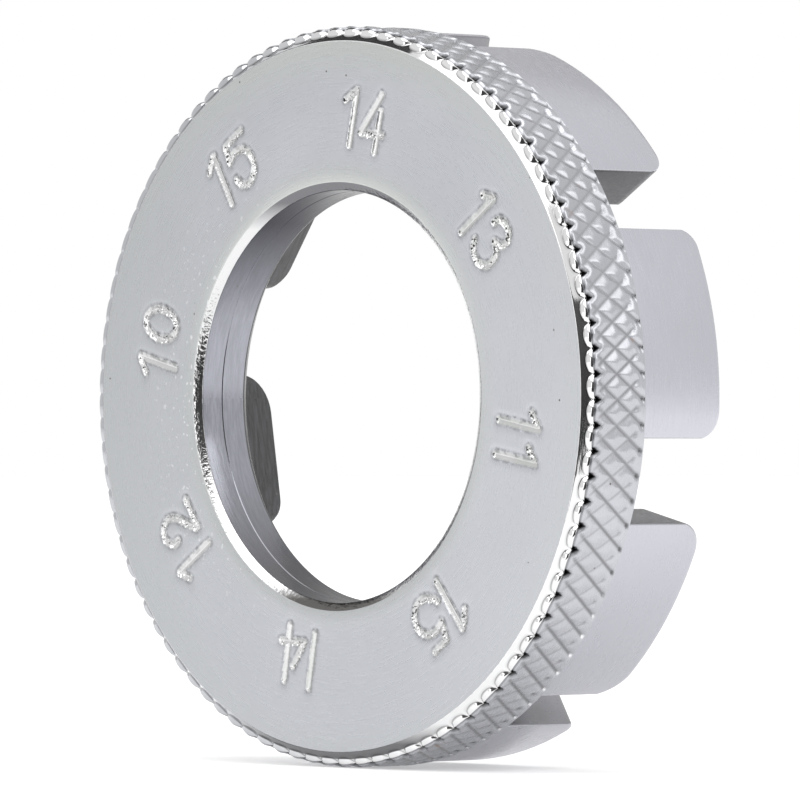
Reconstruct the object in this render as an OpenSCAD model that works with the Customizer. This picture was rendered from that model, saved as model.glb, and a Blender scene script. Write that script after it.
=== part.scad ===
// Wrench for spoke nipples: a bored ring with a knurled rim, and eight jaws behind it that
// leave a graded slot between each two.
//
// It stands on its rim as it is shown: the bore runs along Y, the numbered face looks along -Y
// from y = 0, the jaws point along +Y and Z is up. All lengths are in millimetres.

/* [Ring] */
// Diameter of the bore
bore_d = 25.8; // [18:0.1:30]
// Thickness of the ring, from its numbered face to the floor of the slots
ring_t = 4.75; // [3.5:0.05:7]
// Chamfer of the bore at the numbered face, measured along the radius
mouth_w = 0.55; // [0.2:0.05:1.2]
// Depth of that chamfer, measured along the bore
mouth_t = 0.35; // [0.2:0.05:1]
// Chamfer of the bore at the side of the jaws
back_chamfer = 0.8; // [0.3:0.05:1.5]

/* [Knurled rim] */
// Diamonds round the rim
knurl_teeth = 92; // [60:1:120]
// Diamonds across the rim, from the numbered face to the end of the knurl
knurl_across = 2; // [1:1:3]
// How far the flats of the diamonds stand above the jaws
crest_rise = 0.2; // [0.1:0.05:0.4]
// Depth of the grooves, from the flats of the diamonds
groove_depth = 0.3; // [0.15:0.05:0.5]
// Plain strip behind the knurl, where the grooves run out
plain_strip = 0.25; // [0.15:0.05:0.8]
// Width of the bevel, from the numbered face out to the line of the jaws
bevel_w = 0.8; // [0.6:0.05:1.4]
// Depth at which the bevel reaches the scalloped edge of the knurl
bevel_t = 0.45; // [0.25:0.05:0.6]

/* [Jaws] */
// Diameter over the jaws
jaw_od = 46; // [42:0.5:56]
// Length of the jaws, from the floor of the slots to their ends
jaw_l = 6.5; // [4:0.1:10]
// Thickness of the jaws at their middle, from the flat inside to the round outside
jaw_wall = 4.7; // [3:0.05:6]
// Rounding of the outer edges round the ends of the jaws
end_r = 0.5; // [0.2:0.05:1]

/* [Slots] */
// Width of the 10 gauge slot
slot_10 = 5.7; // [5:0.05:6.5]
// Width of the 11 gauge slot
slot_11 = 5.3; // [4.5:0.05:6]
// Width of the 12 gauge slot
slot_12 = 4.6; // [4:0.05:5.2]
// Width of the 13 gauge slot
slot_13 = 4.2; // [3.6:0.05:4.8]
// Width of both 14 gauge slots
slot_14 = 3.9; // [3.3:0.05:4.5]
// Width of both 15 gauge slots
slot_15 = 3.6; // [3:0.05:4.2]
// Rounding of the slots' mouths
mouth_r = 1.6; // [0.8:0.1:3]
// How far the first slot is turned clockwise from the top, in degrees, seen at the numbered face
slot_turn = 13.3; // [0:0.1:45]

/* [Hidden] */
$fn = 160;

// How far a cut runs past the face that it opens
overrun = 1;

// Slots in their order, clockwise from the top
slot_widths = [slot_14, slot_13, slot_11, slot_15, slot_14, slot_12, slot_10, slot_15];
slot_step = 360 / len(slot_widths);

bore_r = bore_d / 2;
jaw_r = jaw_od / 2;
jaw_flat = jaw_r - jaw_wall;
bore_back_r = bore_r + back_chamfer;
end_t = ring_t + jaw_l;
face_r = jaw_r - bevel_w;

crest_r = jaw_r + crest_rise;
groove_r = crest_r - groove_depth;
half_tooth = 180 / knurl_teeth;

// Grooves cross in every row, and two rows go to one diamond
knurl_rows = 2 * knurl_across;
row_t = (ring_t - plain_strip) / knurl_rows;

// Half of a diamond's flat, as a share of half the diamond
flat_share = 0.72;
// Where the shoulder of the knurl reaches its full height, as a share of its first row
shoulder_share = 0.8;
shoulder_t = row_t * shoulder_share;
// Where the bevel meets the teeth and the notches between them, as shares of its way up to the flats
tooth_share = 0.66;
notch_share = 0.36;
tooth_r = face_r + (crest_r - face_r) * tooth_share;
notch_r = face_r + (crest_r - face_r) * notch_share;

// The rim is laid over the ring as a polygon that stays just outside the ring's round wall
seat_r = face_r / cos(half_tooth * flat_share);

// Stands what is turned about Z up on its rim, with the numbered face towards -Y
module stand() {
  rotate([-90, 0, 0]) children();
}

function slot_angle(k) = slot_turn - 90 + k * slot_step;

// Numbered ring: bore with a chamfer at each end, a flat face and a flat back
module numbered_ring() {
  color([0.76, 0.77, 0.79])
  stand()
  rotate_extrude()
  polygon([
    [bore_r + mouth_w, 0],
    [face_r, 0],
    [face_r, ring_t],
    [bore_back_r, ring_t],
    [bore_r, ring_t - back_chamfer],
    [bore_r, mouth_t]
  ]);
}

// Knurled rim: grooves cross at every second column and row of a lattice, and each diamond
// between them has a flat. Rows count back from the numbered face, columns clockwise.

// A point at column u, counted in half teeth
function at(u, r, t) = [r * cos(u * half_tooth), r * sin(u * half_tooth), t];

// Where two grooves cross
function crossing(u, v) = at(u, groove_r, v * row_t);

// A corner of a diamond's flat. The bevel cuts the first row's flats short.
function flat(u, v) = at(u, crest_r, max(v * row_t, shoulder_t));

// One tooth's part of the rim is a list of points in a fixed order. First come bands that run
// round the rim at three columns: a notch, and the two sides of the tooth beside it.
column_shares = [0, 1 - flat_share, 1 + flat_share];
columns = len(column_shares);
function band(u, radii, t) = [
  for (k = [0:columns - 1])
  at(u + column_shares[k], radii[k], t)
];

// Crossings and flats of one row, seen from the column of the tooth's notch
function row_points(u, v) =
  let (c = v % 2 == 0 ? u + 1 : u)
  concat(
    [crossing(c + 1, v)],
    [flat(c - flat_share, v), flat(c + flat_share, v)],
    [flat(c, v - flat_share), flat(c, v + flat_share)]
  );

function bands(u) = [
  band(u, [seat_r, seat_r, seat_r], ring_t),
  band(u, [seat_r, seat_r, seat_r], 0),
  band(u, [notch_r, tooth_r, tooth_r], bevel_t),
  band(u, [groove_r, crest_r, crest_r], knurl_rows * row_t),
  band(u, [jaw_r, jaw_r, jaw_r], ring_t)
];

// The flats' tips of the half diamonds at the bevel and at the end of the knurl
function tips(u) = [flat(u + 1, flat_share), flat(u + 1, knurl_rows - flat_share)];

function tooth_points(u) = concat(
  [for (points = bands(u)) each points],
  tips(u),
  [for (v = [1:knurl_rows - 1]) each row_points(u, v)]
);

// Places in the list where the tips and the rows begin, and how many places a row and a tooth take
first_tip = columns * len(bands(0));
first_row = first_tip + len(tips(0));
row_places = len(row_points(0, 1));
tooth_places = first_row + (knurl_rows - 1) * row_places;

// Index of a point: its tooth, then its place in the tooth's list
function id(tooth, place) = (tooth + knurl_teeth) % knurl_teeth * tooth_places + place;
function on_band(tooth, b, k) = id(tooth + floor(k / columns), b * columns + k % columns);
function front_tip(tooth) = id(tooth, first_tip);
function back_tip(tooth) = id(tooth, first_row - 1);
function on_row(tooth, v, k) = id(tooth, first_row + (v - 1) * row_places + k);

// The crossing at the column of a tooth's notch, or at its middle, in any row
function cross_at(tooth, v) =
  v == 0 ? on_band(tooth, 2, 0) :
  v == knurl_rows ? on_band(tooth, 3, 0) :
  v % 2 == 0 ? on_row(tooth - 1, v, 0) : on_row(tooth, v, 0);

function quad(a, b, c, d) = [[a, b, c], [a, c, d]];

// Strip between two bands, round one tooth
function strip(tooth, a, b) = [
  for (k = [0:columns - 1])
  each quad(on_band(tooth, a, k), on_band(tooth, a, k + 1), on_band(tooth, b, k + 1), on_band(tooth, b, k))
];

// Half a diamond at the bevel, its flat sloping up from the scalloped edge
function front_half(tooth) = concat(
  [[on_band(tooth, 2, 1), on_band(tooth, 2, 2), front_tip(tooth)]],
  quad(cross_at(tooth, 0), on_band(tooth, 2, 1), front_tip(tooth), cross_at(tooth, 1)),
  quad(on_band(tooth, 2, 2), cross_at(tooth + 1, 0), cross_at(tooth, 1), front_tip(tooth))
);

// Half a diamond at the end of the knurl
function back_half(tooth) =
  let (inner = cross_at(tooth, knurl_rows - 1))
  concat(
    [[on_band(tooth, 3, 2), on_band(tooth, 3, 1), back_tip(tooth)]],
    quad(on_band(tooth, 3, 1), cross_at(tooth, knurl_rows), inner, back_tip(tooth)),
    quad(cross_at(tooth + 1, knurl_rows), on_band(tooth, 3, 2), back_tip(tooth), inner)
  );

// One whole diamond: its flat, and the four walls that slope down to the grooves
function diamond(tooth, v) =
  let (even = v % 2 == 0)
  let (left = even ? cross_at(tooth, v) : cross_at(tooth - 1, v))
  let (right = even ? cross_at(tooth + 1, v) : cross_at(tooth, v))
  let (front = cross_at(tooth, v - 1))
  let (back = cross_at(tooth, v + 1))
  let (l = on_row(tooth, v, 1), r = on_row(tooth, v, 2), f = on_row(tooth, v, 3), b = on_row(tooth, v, 4))
  concat(
    quad(l, f, r, b),
    quad(left, front, f, l),
    quad(front, right, r, f),
    quad(right, back, b, r),
    quad(back, left, l, b)
  );

module knurled_rim() {
  color([0.7, 0.71, 0.74])
  stand()
  polyhedron(
    points = [for (tooth = [0:knurl_teeth - 1]) each tooth_points(2 * tooth)],
    faces = [
      for (tooth = [0:knurl_teeth - 1])
      each concat(
        strip(tooth, 0, 1),
        strip(tooth, 1, 2),
        front_half(tooth),
        [for (v = [1:knurl_rows - 1]) each diamond(tooth, v)],
        back_half(tooth),
        strip(tooth, 3, 4),
        strip(tooth, 4, 0)
      )
    ]
  );
}

// Jaws: each fills the step between two slots. The slots are cut from its sides, and its inside is
// cut flat, so the hollow between the jaws has eight flat sides.

// Waste of a rounded corner, for a corner at the origin that points along +X and +Y
module corner_waste(r) {
  difference() {
    translate([-r, -r]) square(r + overrun);
    translate([-r, -r]) circle(r);
  }
}

module jaw_section() {
  difference() {
    translate([bore_back_r, ring_t]) square([jaw_r - bore_back_r, jaw_l]);
    translate([jaw_r, end_t]) corner_waste(end_r);
  }
}

// Block that keeps what lies outside the flat of a jaw
module flat_block(k) {
  rotate([0, 0, slot_angle(k) + slot_step / 2])
  translate([jaw_flat, -jaw_r, ring_t - overrun])
  cube([jaw_wall + overrun, jaw_od, jaw_l + 2 * overrun]);
}

// Cut of one slot, with its mouth rounded on both sides
module slot_cut(k) {
  width = slot_widths[k % len(slot_widths)];
  rotate([0, 0, slot_angle(k)])
  rotate([90, 0, 90])
  linear_extrude(jaw_r + overrun) {
    translate([-width / 2, ring_t - overrun]) square([width, jaw_l + 2 * overrun]);
    for (side = [0, 1])
      mirror([side, 0])
      translate([width / 2, end_t])
      mirror([1, 0])
      corner_waste(mouth_r);
  }
}

module jaw(k) {
  color([0.8, 0.8, 0.83])
  stand()
  difference() {
    intersection() {
      rotate([0, 0, slot_angle(k)])
      rotate_extrude(angle = slot_step)
      jaw_section();
      flat_block(k);
    }
    slot_cut(k);
    slot_cut(k + 1);
  }
}

module jaw_1() {
  jaw(0);
}

module jaw_2() {
  jaw(1);
}

module jaw_3() {
  jaw(2);
}

module jaw_4() {
  jaw(3);
}

module jaw_5() {
  jaw(4);
}

module jaw_6() {
  jaw(5);
}

module jaw_7() {
  jaw(6);
}

module jaw_8() {
  jaw(7);
}

numbered_ring();
knurled_rim();
jaw_1();
jaw_2();
jaw_3();
jaw_4();
jaw_5();
jaw_6();
jaw_7();
jaw_8();
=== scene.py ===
# %% [markdown]
# # A chrome spoke wrench
# The real wrench is one turned ring of steel: a flat face with stamped numbers, a knurled rim to
# grip, and eight jaws behind it that leave a slot of its own width for each gauge of nipple.
# It could be sculpted as a single mesh, but here each machined region is a piece of its own, because
# the turned, knurled and milled surfaces are made in different ways and carry different finishes.

# %% Load the frame
import math
import bpy
import numpy as np
from mathutils import Matrix, Vector


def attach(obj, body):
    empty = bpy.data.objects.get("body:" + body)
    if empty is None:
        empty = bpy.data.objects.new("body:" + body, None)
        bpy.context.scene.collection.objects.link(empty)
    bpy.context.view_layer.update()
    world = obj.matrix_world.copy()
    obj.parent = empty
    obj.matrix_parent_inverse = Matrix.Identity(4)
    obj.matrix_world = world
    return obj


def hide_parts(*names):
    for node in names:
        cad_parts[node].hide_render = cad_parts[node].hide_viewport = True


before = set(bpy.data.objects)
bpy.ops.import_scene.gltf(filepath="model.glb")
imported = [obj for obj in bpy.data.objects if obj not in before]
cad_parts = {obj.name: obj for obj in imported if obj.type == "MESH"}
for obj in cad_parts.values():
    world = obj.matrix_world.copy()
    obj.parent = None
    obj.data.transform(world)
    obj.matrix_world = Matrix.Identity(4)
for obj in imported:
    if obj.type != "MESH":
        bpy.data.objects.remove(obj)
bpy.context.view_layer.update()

# %% [markdown]
# ## Camera
# The photograph is taken from the right of the numbered face, almost level with the bore and from
# about half a metre, with a long lens. The view could be matched by eye in the viewport; here its
# angles come from the ellipses of the bore and rim, so the camera is set by numbers.

# %% Place the camera
MM = 0.001
PHOTO_PX = 800
FOCAL_PX = 7980.66
azimuth, elevation = math.radians(47.399), math.radians(-0.365)
towards_camera = Vector((math.sin(azimuth) * math.cos(elevation),
                         -math.cos(azimuth) * math.cos(elevation), math.sin(elevation)))
to_the_right = Vector((math.cos(azimuth), math.sin(azimuth), 0))
upwards = towards_camera.cross(to_the_right)
lens_data = bpy.data.cameras.new("camera")
lens_data.sensor_width = 36
lens_data.lens = lens_data.sensor_width * FOCAL_PX / PHOTO_PX
lens_data.clip_start = 0.05
lens_data.clip_end = 20
camera = bpy.data.objects.new("camera", lens_data)
bpy.context.scene.collection.objects.link(camera)
place = (to_the_right * 4.1116 - upwards * 0.2165 + towards_camera * 498.85) * MM
camera.matrix_world = Matrix((
    (to_the_right.x, upwards.x, towards_camera.x, place.x),
    (to_the_right.y, upwards.y, towards_camera.y, place.y),
    (to_the_right.z, upwards.z, towards_camera.z, place.z),
    (0, 0, 0, 1)))
bpy.context.scene.camera = camera
print("camera at", tuple(round(v, 4) for v in place))

# %% [markdown]
# ## Sizes and small helpers
# Pieces this small are modelled at one unit to the millimetre, because the modelling tools have merge
# and bevel limits that suit such sizes, and each is shrunk to metres when it is done.
# The wrench lies in the frame with its bore along Y, so a turned profile is given as radius and depth.

# %% Sizes of the wrench, in millimetres
BORE_R = 12.9
FACE_R = 22.2
JAW_R = 23.0
JAW_FLAT = 18.3
CREST_R = 23.2
RING_T = 4.75
END_T = 11.25
SLOT_WIDTHS = [3.9, 4.2, 5.3, 3.6, 3.9, 4.6, 5.7, 3.6]
FIRST_SLOT = 76.7
SLOT_STEP = 45.0
print("slots:", SLOT_WIDTHS)

# %% Helpers to read, move and finish a mesh
def points_of(piece):
    flat = np.empty(len(piece.data.vertices) * 3)
    piece.data.vertices.foreach_get("co", flat)
    return flat.reshape(-1, 3)


def set_points(piece, points):
    piece.data.vertices.foreach_set("co", points.ravel())
    piece.data.update()


def polar(points):
    """Radius, world angle and depth of each point."""
    return np.hypot(points[:, 0], points[:, 2]), np.arctan2(points[:, 2], points[:, 0]), points[:, 1]


def on_the_ring(radius, angle, depth):
    return np.stack([radius * np.cos(angle), depth, radius * np.sin(angle)], axis=1)


def edit(piece, mode="VERT"):
    bpy.ops.object.select_all(action="DESELECT")
    bpy.context.view_layer.objects.active = piece
    piece.select_set(True)
    bpy.ops.object.mode_set(mode="EDIT")
    bpy.ops.mesh.select_mode(type=mode)


def leave_edit():
    bpy.ops.object.mode_set(mode="OBJECT")


def clear_selection(piece):
    for part in (piece.data.vertices, piece.data.edges, piece.data.polygons):
        part.foreach_set("select", np.zeros(len(part), dtype=bool))


def select_edges(piece, wanted):
    """Selects the edges whose two ends both pass the test, and nothing else."""
    leave_edit()
    ok = wanted(points_of(piece))
    ends = np.empty(len(piece.data.edges) * 2, dtype=np.int32)
    piece.data.edges.foreach_get("vertices", ends)
    both = ok[ends.reshape(-1, 2)].all(axis=1)
    clear_selection(piece)
    piece.data.edges.foreach_set("select", both)
    edit(piece, "EDGE")
    return int(both.sum())


def smoothstep(low, high, x):
    t = np.clip((x - low) / (high - low), 0, 1)
    return t * t * (3 - 2 * t)


def finish_piece(piece, node, sharp=35):
    """Cleans the mesh, shrinks it to metres and puts it in its node's place."""
    edit(piece)
    bpy.ops.mesh.select_all(action="SELECT")
    bpy.ops.mesh.remove_doubles(threshold=1e-4)
    bpy.ops.mesh.normals_make_consistent(inside=False)
    leave_edit()
    piece.scale = (MM, MM, MM)
    bpy.ops.object.transform_apply(location=True, rotation=True, scale=True)
    bpy.ops.object.shade_smooth_by_angle(angle=math.radians(sharp))
    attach(piece, "root")
    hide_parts(node)
    print(piece.name, len(piece.data.polygons), "faces")


print("helpers ready, at", MM, "metres to the unit")

# %% [markdown]
# ## The turned ring
# The ring is a lathe part: a flat face, a chamfered bore with one fine tool line in it, and a flat back
# where the slots end. It could be a profile that is spun; a circle that is extruded and scaled from one
# corner of the profile to the next gives the same rings, and shows at each step where the tool has been.

# %% Extrude a circle along the ring's profile
def turn(name, profile, steps):
    """A closed lathe part: a circle extruded and scaled from each corner of the profile to the next."""
    bpy.ops.object.select_all(action="DESELECT")
    radius, depth = profile[0]
    bpy.ops.mesh.primitive_circle_add(vertices=steps, radius=radius, fill_type="NOTHING",
                                      location=(0, depth, 0), rotation=(math.pi / 2, 0, 0))
    piece = bpy.context.object
    piece.name = piece.data.name = name
    bpy.ops.object.transform_apply(location=True, rotation=True, scale=True)
    edit(piece)
    bpy.ops.mesh.select_all(action="SELECT")
    for next_radius, next_depth in profile[1:] + profile[:1]:
        bpy.ops.mesh.extrude_edges_move(TRANSFORM_OT_translate={"value": (0, next_depth - depth, 0)})
        share = next_radius / radius
        bpy.ops.transform.resize(value=(share, 1, share), center_override=(0, 0, 0))
        radius, depth = next_radius, next_depth
    bpy.ops.mesh.select_all(action="SELECT")
    bpy.ops.mesh.remove_doubles(threshold=1e-4)
    bpy.ops.mesh.normals_make_consistent(inside=False)
    leave_edit()
    return piece


RING_STEPS = 192
ROW_GAP = 0.545
NUMBER_ROWS = [20.2 - ROW_GAP * k for k in range(12)]
FRONT_CHAMFER = [(13.45, 0.0), (BORE_R, 0.35)]
TOOL_LINE = [(BORE_R, 1.94), (BORE_R + 0.05, 1.98), (BORE_R + 0.05, 2.02), (BORE_R, 2.06)]
BACK_CHAMFER = [(BORE_R + 0.05, 3.95), (13.7, RING_T)]
ring_profile = ([(FACE_R, 0.0)] + [(r, 0.0) for r in NUMBER_ROWS] + FRONT_CHAMFER + TOOL_LINE
                + [(BORE_R, 3.8)] + BACK_CHAMFER + [(JAW_FLAT, RING_T), (FACE_R, RING_T)])
ring = turn("numbered_ring_piece", ring_profile, RING_STEPS)
print("ring:", len(ring.data.polygons), "faces")

# %% Ease the edges of the two chamfers
def on_chamfer(points):
    radius, _, depth = polar(points)
    hit = np.zeros(len(points), dtype=bool)
    for r, d in FRONT_CHAMFER + BACK_CHAMFER:
        hit |= (abs(radius - r) < 0.02) & (abs(depth - d) < 0.02)
    return hit


picked = select_edges(ring, on_chamfer)
leave_edit()
# The slanted edges of a chamfer join two picked circles, so only level edges stay selected
level = points_of(ring)
for line in ring.data.edges:
    a, b = line.vertices
    if line.select and abs(level[a][1] - level[b][1]) > 1e-3:
        line.select = False
edit(ring, "EDGE")
bpy.ops.mesh.bevel(offset=0.05, offset_type="OFFSET", segments=2, affect="EDGES")
leave_edit()
print("eased", picked, "edges; ring:", len(ring.data.polygons), "faces")

# %% [markdown]
# ## The stamped numbers
# Each number is struck into the face beside the slot that it names, with its top outwards. The punch leaves
# V-shaped strokes, torn where they curve, and sinks the steel beside them a little. Booleans with text would
# give sharp, thin walls, so the face is subdivided finely under each number instead, and its points are
# pressed in by their distance from the strokes, which are drawn as lines in millimetres round each middle.

# %% Strokes of the numbers
# Each number has its angle in degrees, the radius of its middle, and strokes of points across and outwards
NUMBERS = [
    # 14 at the top
    (79.8, 17.45, [[(-2.2, 0.95), (-1.3, 1.68)], [(-1.3, 1.68), (-1.42, -1.78)],
                   [(1.02, 1.72), (-0.47, -0.8)], [(-0.47, -0.86), (1.45, -0.76)],
                   [(1.1, 0.7), (0.96, -1.88)]]),
    # 13, and on clockwise
    (36.4, 17.06, [[(-1.82, 1.15), (-1.1, 1.76)], [(-1.06, 1.76), (-1.18, -1.76)],
                   [(0.12, 0.92), (0.3, 1.42), (0.85, 1.68), (1.5, 1.56), (1.82, 1.1), (1.68, 0.62),
                    (1.1, 0.26)],
                   [(1.1, 0.26), (1.78, -0.04), (1.98, -0.62), (1.8, -1.24), (1.2, -1.66), (0.48, -1.6),
                    (-0.08, -1.06)]]),
    # 11
    (-8.8, 16.82, [[(-1.64, 1.08), (-0.76, 1.78)], [(-0.74, 1.78), (-0.84, -1.78)],
                   [(0.52, 1.12), (1.34, 1.78)], [(1.36, 1.78), (1.3, -1.78)]]),
    # 15
    (-54.2, 16.74, [[(-2.0, 0.9), (-1.2, 1.7)], [(-1.12, 1.7), (-0.92, -1.96)],
                    [(0.42, 1.48), (1.72, 1.5)], [(0.42, 1.48), (0.2, 0.3)],
                    [(0.2, 0.3), (0.9, 0.5), (1.66, 0.26), (2.14, -0.4), (2.04, -1.22), (1.5, -1.76),
                     (0.68, -1.76), (0.0, -1.3), (-0.26, -0.88)]]),
    # 14
    (-101.3, 16.66, [[(-1.2, 1.74), (-1.14, -1.72)],
                     [(0.52, 0.72), (-0.24, -0.9)], [(-0.26, -0.98), (1.86, -0.66)],
                     [(1.12, 1.76), (1.24, -1.74)]]),
    # 12
    (-147.6, 16.74, [[(-2.34, 1.04), (-1.56, 1.68)], [(-1.5, 1.66), (-1.4, -1.74)],
                     [(0.24, 0.7), (0.26, 1.22), (0.86, 1.7), (1.56, 1.58), (1.92, 0.9), (1.58, 0.14),
                      (0.84, -0.5), (0.0, -1.22)], [(0.0, -1.38), (2.06, -1.3)]]),
    # 10
    (167.3, 16.92, [[(-2.34, 1.04), (-1.5, 1.74)], [(-1.44, 1.74), (-1.5, -1.68)],
                    [(0.96 + 0.94 * math.sin(k * math.pi / 8), 0.22 + 1.52 * math.cos(k * math.pi / 8))
                     for k in range(17)]]),
    # 15
    (123.3, 17.46, [[(-2.06, 0.94), (-1.2, 1.62)], [(-1.16, 1.6), (-1.34, -1.9)],
                    [(0.12, 1.48), (1.86, 1.5)], [(0.12, 1.48), (-0.1, 0.36)],
                    [(-0.1, 0.36), (0.66, 0.66), (1.5, 0.3), (1.8, -0.5), (1.62, -1.24), (0.9, -1.74),
                     (0.18, -1.5), (-0.12, -0.9)]]),
]


def smooth_line(line):
    """Rounds a stroke of several points by a spline through them."""
    if len(line) < 3:
        return np.array(line)
    p = np.array([line[0]] + line + [line[-1]])
    fine = []
    for k in range(1, len(p) - 2):
        for t in np.arange(0, 1, 0.2):
            fine.append(0.5 * (2 * p[k] + (p[k + 1] - p[k - 1]) * t
                               + (2 * p[k - 1] - 5 * p[k] + 4 * p[k + 1] - p[k + 2]) * t ** 2
                               + (3 * p[k] - p[k - 1] - 3 * p[k + 1] + p[k + 2]) * t ** 3))
    return np.array(fine + [p[-2]])


def number_axes(angle_deg):
    """The reading direction of a number and its upward direction, which points out from the bore."""
    a = math.radians(angle_deg)
    return np.array([math.sin(a), -math.cos(a)]), np.array([math.cos(a), math.sin(a)])


def in_number(points, angle_deg, radius):
    across, outward = number_axes(angle_deg)
    flat = points[:, [0, 2]] - outward * radius
    return flat @ across, flat @ outward


print(len(NUMBERS), "numbers")

# %% Cut the face finely under each number
# Each side of a cell is cut into this many parts
FINE = 8
centres = np.empty(len(ring.data.polygons) * 3)
ring.data.polygons.foreach_get("center", centres)
centres = centres.reshape(-1, 3)
under = np.zeros(len(centres), dtype=bool)
for angle_deg, radius, strokes in NUMBERS:
    x, y = in_number(centres, angle_deg, radius)
    under |= (abs(x) < 2.9) & (abs(y) < 2.5) & (centres[:, 1] < 0.001)
clear_selection(ring)
ring.data.polygons.foreach_set("select", under)
edit(ring, "FACE")
bpy.ops.mesh.subdivide(number_cuts=FINE - 1)
leave_edit()
print(int(under.sum()), "cells cut into", len(ring.data.polygons), "faces")

# %% Press the strokes in
STROKE_HALF_W = 0.33
STROKE_DEPTH = 0.14
SUNK_DEPTH = 0.016
TORN_STRAIGHT, TORN_CURVED = 0.003, 0.022
# More rows than the ring is wide, and as many columns as there are cuts round it
GRAIN_ROWS, GRAIN_COLUMNS = 160, RING_STEPS * FINE
# The side of a stroke that lies in grey shade, as a direction in the world's X and Z
UPPER_SIDE = np.array([0.45, 0.9])


def carry(piece, name, values):
    """Writes a number for each point of a mesh, under a name that its finish can read."""
    kept = piece.data.attributes.get(name) or piece.data.attributes.new(name, "FLOAT", "POINT")
    kept.data.foreach_set("value", values.astype(np.float32))


points = points_of(ring)
on_face = points[:, 1] < 0.001
# The cuts number their points differently in each run, so the grain goes by their rows and columns instead
reach, bearing, _ = polar(points)
grain_row = np.round((NUMBER_ROWS[0] - reach) / ROW_GAP * FINE).astype(int) % GRAIN_ROWS
grain_column = np.round(bearing / (2 * math.pi) * GRAIN_COLUMNS).astype(int) % GRAIN_COLUMNS
grain = np.random.RandomState(14).normal(0, 1, (GRAIN_ROWS, GRAIN_COLUMNS))[grain_row, grain_column]
press = np.zeros(len(points))
painted_stroke_shade = np.zeros(len(points))
for angle_deg, radius, strokes in NUMBERS:
    x, y = in_number(points, angle_deg, radius)
    near = np.where(on_face & (abs(x) < 3.2) & (abs(y) < 2.8))[0]
    here = np.stack([x[near], y[near]], axis=1)
    gap = np.full(len(near), 9.0)
    torn, above = np.zeros(len(near)), np.zeros(len(near))
    across, outward = number_axes(angle_deg)
    for stroke in strokes:
        line = smooth_line(stroke)
        clean = len(line) == 2 and np.hypot(*(line[1] - line[0])) > 2.4
        for a, b in zip(line[:-1], line[1:]):
            way = np.clip(((here - a) @ (b - a)) / max((b - a) @ (b - a), 1e-9), 0, 1)
            off = here - a - way[:, None] * (b - a)
            apart = np.hypot(*off.T)
            lean = (off @ np.array([across, outward]) @ UPPER_SIDE) / np.maximum(apart, 1e-6)
            torn = np.where(apart < gap, TORN_STRAIGHT if clean else TORN_CURVED, torn)
            above = np.where(apart < gap, np.clip(lean, 0, 1), above)
            gap = np.minimum(gap, apart)
    share = np.clip(gap / STROKE_HALF_W, 0, 1)
    channel = STROKE_DEPTH * (1 - share ** 1.35)
    rough = torn * grain[near] * smoothstep(1.0, 0.7, share)
    sunk = SUNK_DEPTH * np.exp(-((gap - STROKE_HALF_W) / 0.22) ** 2) * (gap > STROKE_HALF_W)
    press[near] = np.maximum(press[near], channel + rough + sunk)
    # Painted shade: a dark outline round each stroke, stronger on its shaded side, and a darker band inside
    # the stroke along the side that faces the grey shade.
    outline = np.exp(-((gap - STROKE_HALF_W) / 0.1) ** 2)
    shaded = 0.8 * above * smoothstep(0.1, 0.35, share) * smoothstep(1.0, 0.9, share)
    painted_stroke_shade[near] = np.maximum(painted_stroke_shade[near], np.maximum(outline * (0.55 + 0.45 * above), shaded))
points[:, 1] += np.maximum(press, 0)
set_points(ring, points)
carry(ring, "painted_stroke_shade", painted_stroke_shade)
print("deepest stroke:", round(float(press.max()), 3), "mm")

# %% [markdown]
# ## The knurled rim
# A knurling wheel rolls two sets of crossing grooves into the rim and leaves flat diamonds, 92 round it.
# The bevel towards the face cuts through them, so it ends in a row of rounded lobes with pockets
# between them, darkened with painted shade. An array of diamond solids would leave seams, so one tooth's
# width of the rim is modelled as a sheet and repeated. The sheet is a grid that is turned by 45 degrees,
# because then its own lines run along the grooves and keep them crisp.

# %% Turn a grid, so that its lines follow the grooves
TEETH = 92
HALF_TOOTH = math.pi / TEETH
ROW_T = 1.125
KNURL_PHASE = math.radians(-0.75)
GROOVE_LINES = [0, 0.06, 0.12, 0.19, 0.28, 0.39, 0.5, 0.61, 0.72, 0.81, 0.88, 0.94]

bpy.ops.object.select_all(action="DESELECT")
cells = 4 * len(GROOVE_LINES)
bpy.ops.mesh.primitive_grid_add(x_subdivisions=cells, y_subdivisions=cells, size=4, location=(1, 1, 0))
rim = bpy.context.object
rim.name = rim.data.name = "knurled_rim_piece"
bpy.ops.object.transform_apply(location=True, rotation=True, scale=True)
grid = points_of(rim)
steps = np.round((grid[:, :2] + 1) * len(GROOVE_LINES)).astype(int)
lines = np.array(GROOVE_LINES)
grid[:, :2] = steps // len(lines) - 1 + lines[steps % len(lines)]
set_points(rim, grid)
edit(rim)
bpy.ops.mesh.select_all(action="SELECT")
bpy.ops.transform.rotate(value=math.radians(-45), orient_axis="Z", center_override=(0, 0, 0))
bpy.ops.transform.resize(value=(math.sqrt(2), math.sqrt(2), 1), center_override=(0, 0, 0))
leave_edit()
corner = points_of(rim)
print("sheet spans", corner.min(axis=0).round(3), corner.max(axis=0).round(3))

# %% Trim the sheet to one tooth, then lead it over the bevel and round the back of the rim
BEVEL_ROWS = [0, 0.03, 0.06, 0.08, 0.1, 0.16, 0.22, 0.24, 0.26, 0.3, 0.36, 0.43, 0.5, 0.55, 0.59, 0.64,
              0.7, 0.75, 0.8, 0.85, 0.9, 0.95, 1.0]
BACK_STEPS = [0.07, 0.07, 0.1, 0.76, 1.0]
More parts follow.
